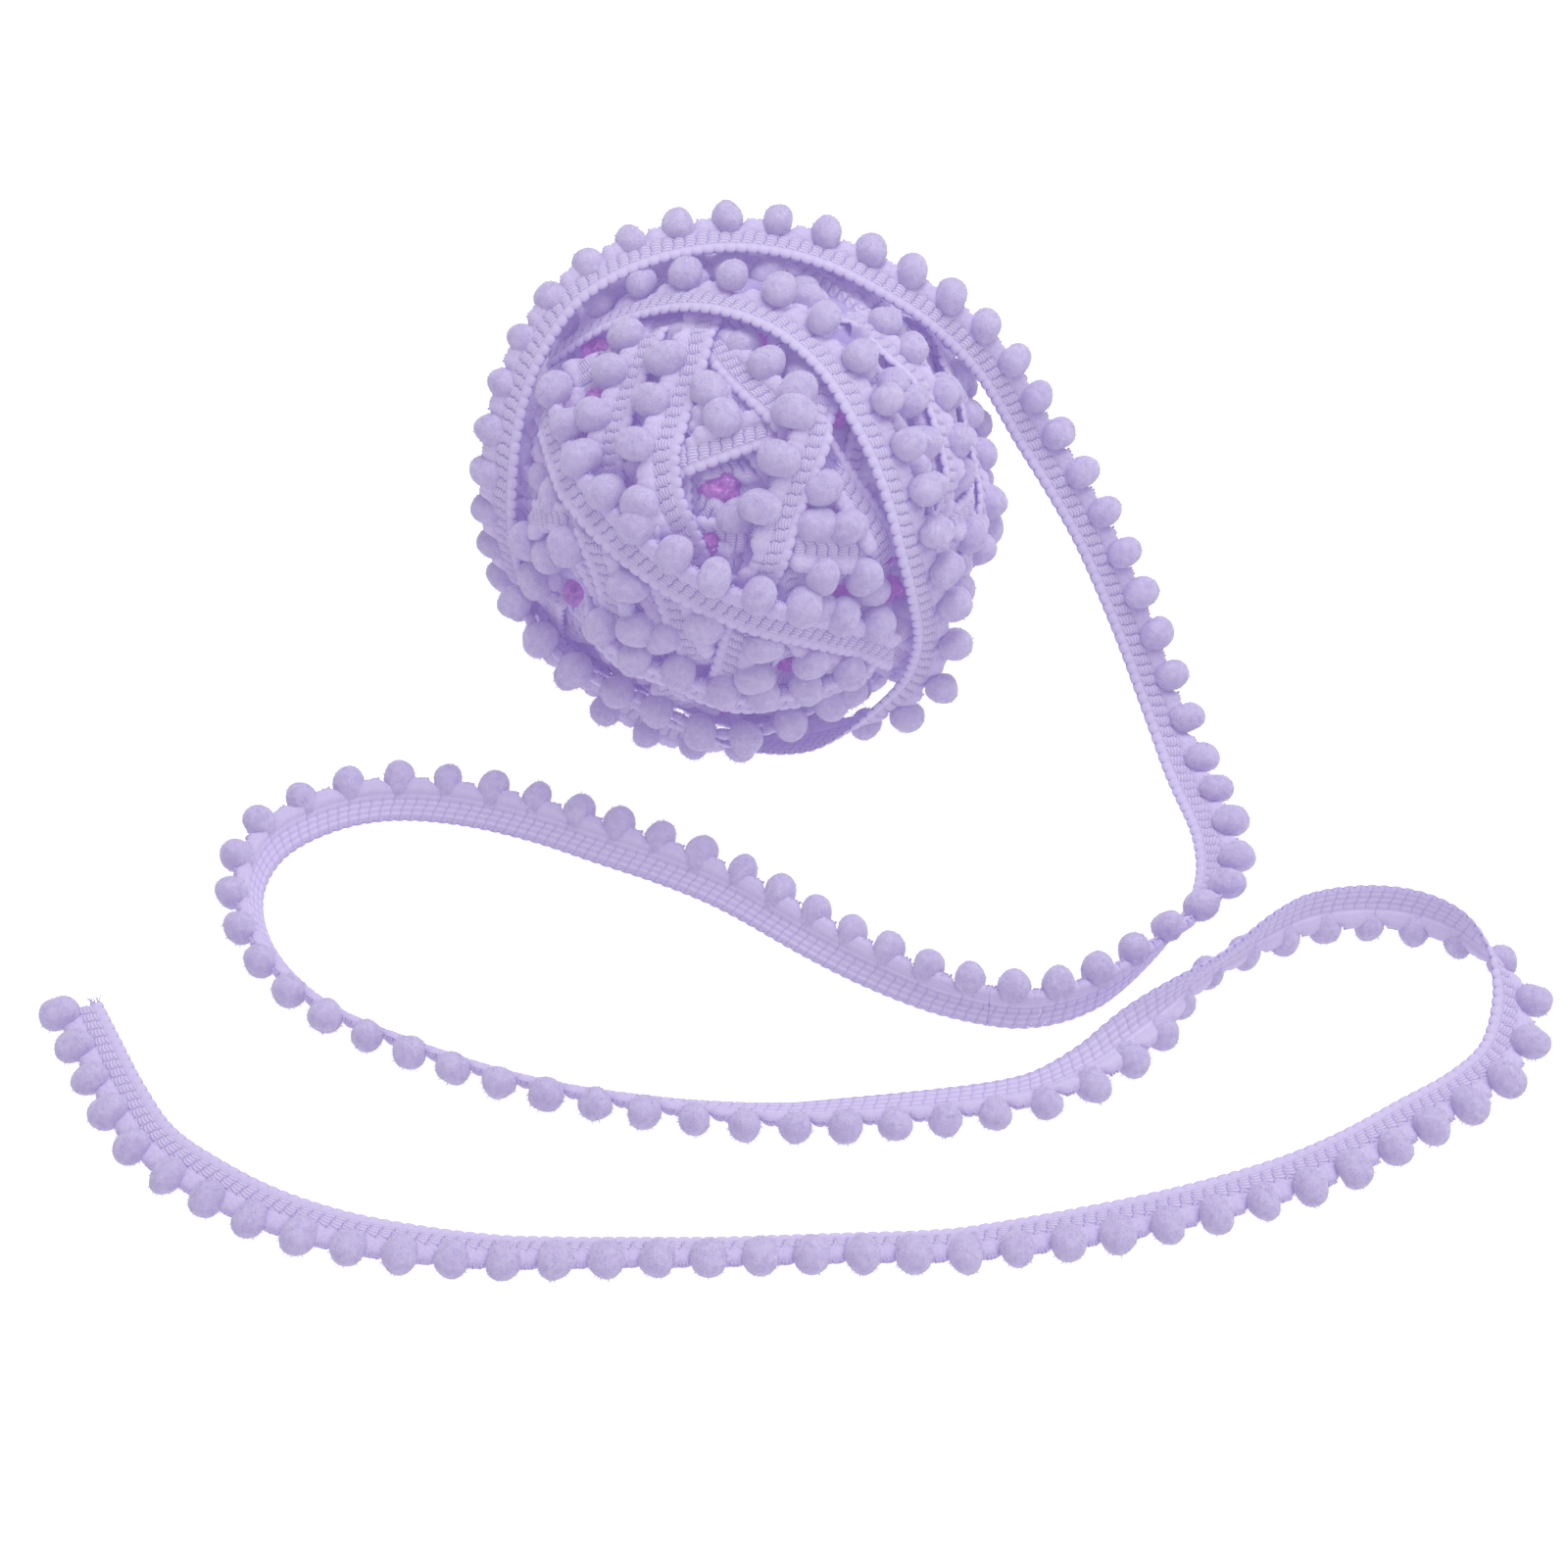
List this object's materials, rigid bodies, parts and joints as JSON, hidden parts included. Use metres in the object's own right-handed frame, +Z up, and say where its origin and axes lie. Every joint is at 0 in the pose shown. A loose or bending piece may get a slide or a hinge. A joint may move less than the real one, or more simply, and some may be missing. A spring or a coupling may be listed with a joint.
{
  "type": "pompom fringe trim",
  "caption": "Ball of knitted trim edged with small pompoms, wound round a film core, its last turn loose and a long end lying in three sweeps.",
  "frame": {"origin": "middle of the ball's flat spot, where it rests", "axes": "+Z up, +X along the sweeps of the loose end, -Y towards the side where the loose end lies"},
  "size_m": [0.2783, 0.2107, 0.1021],
  "materials": {
    "trim": "velvety pompoms and ribbed knitted tape, matt",
    "film": "crumpled translucent film, soft sheen"
  },
  "bodies": {
    "root": {"core": "film", "winding": "trim", "loose_end": "trim"}
  },
  "joints": []
}
